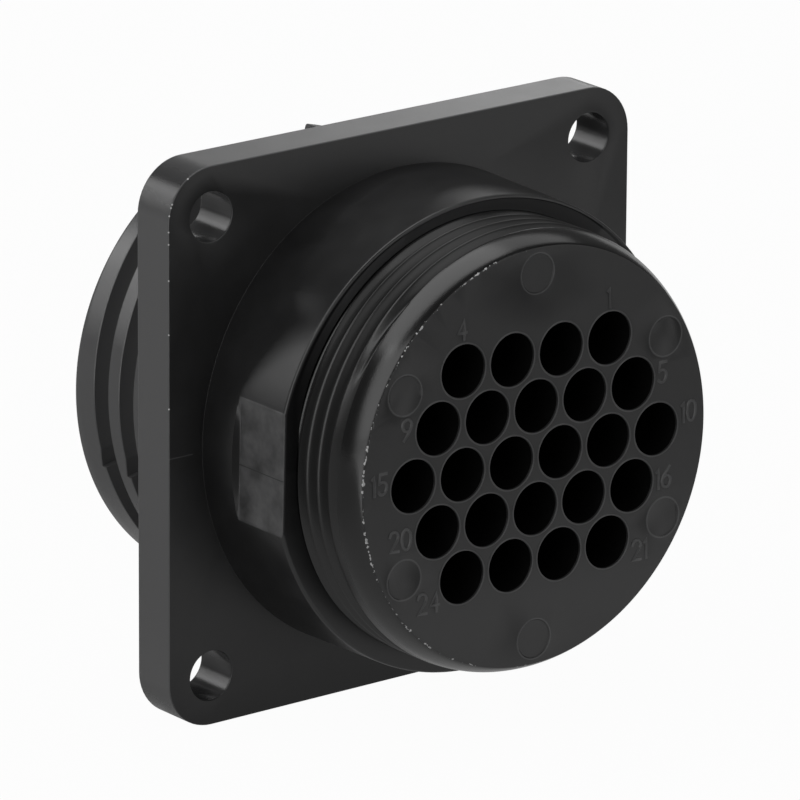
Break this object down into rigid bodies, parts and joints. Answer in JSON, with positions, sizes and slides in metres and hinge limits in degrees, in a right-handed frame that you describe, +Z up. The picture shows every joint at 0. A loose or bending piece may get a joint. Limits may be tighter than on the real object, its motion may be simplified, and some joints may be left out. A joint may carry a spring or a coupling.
{
  "type": "circular panel mount connector housing",
  "caption": "Black moulded connector receptacle: square screw flange, round threaded wire end with rows of contact holes, and a coarse-threaded mating skirt.",
  "frame": {"origin": "on the connector's axis, in the plane of the flange face that seats on the panel", "axes": "+Y along the axis towards the mating end, -Y towards the wire end, +Z up, +X to the right seen from the wire end"},
  "size_m": [0.0444, 0.0341, 0.0444],
  "materials": {
    "black_nylon": "moulded, fine satin with glossier thread and lip"
  },
  "bodies": {
    "root": {"housing": "black_nylon"}
  },
  "joints": []
}
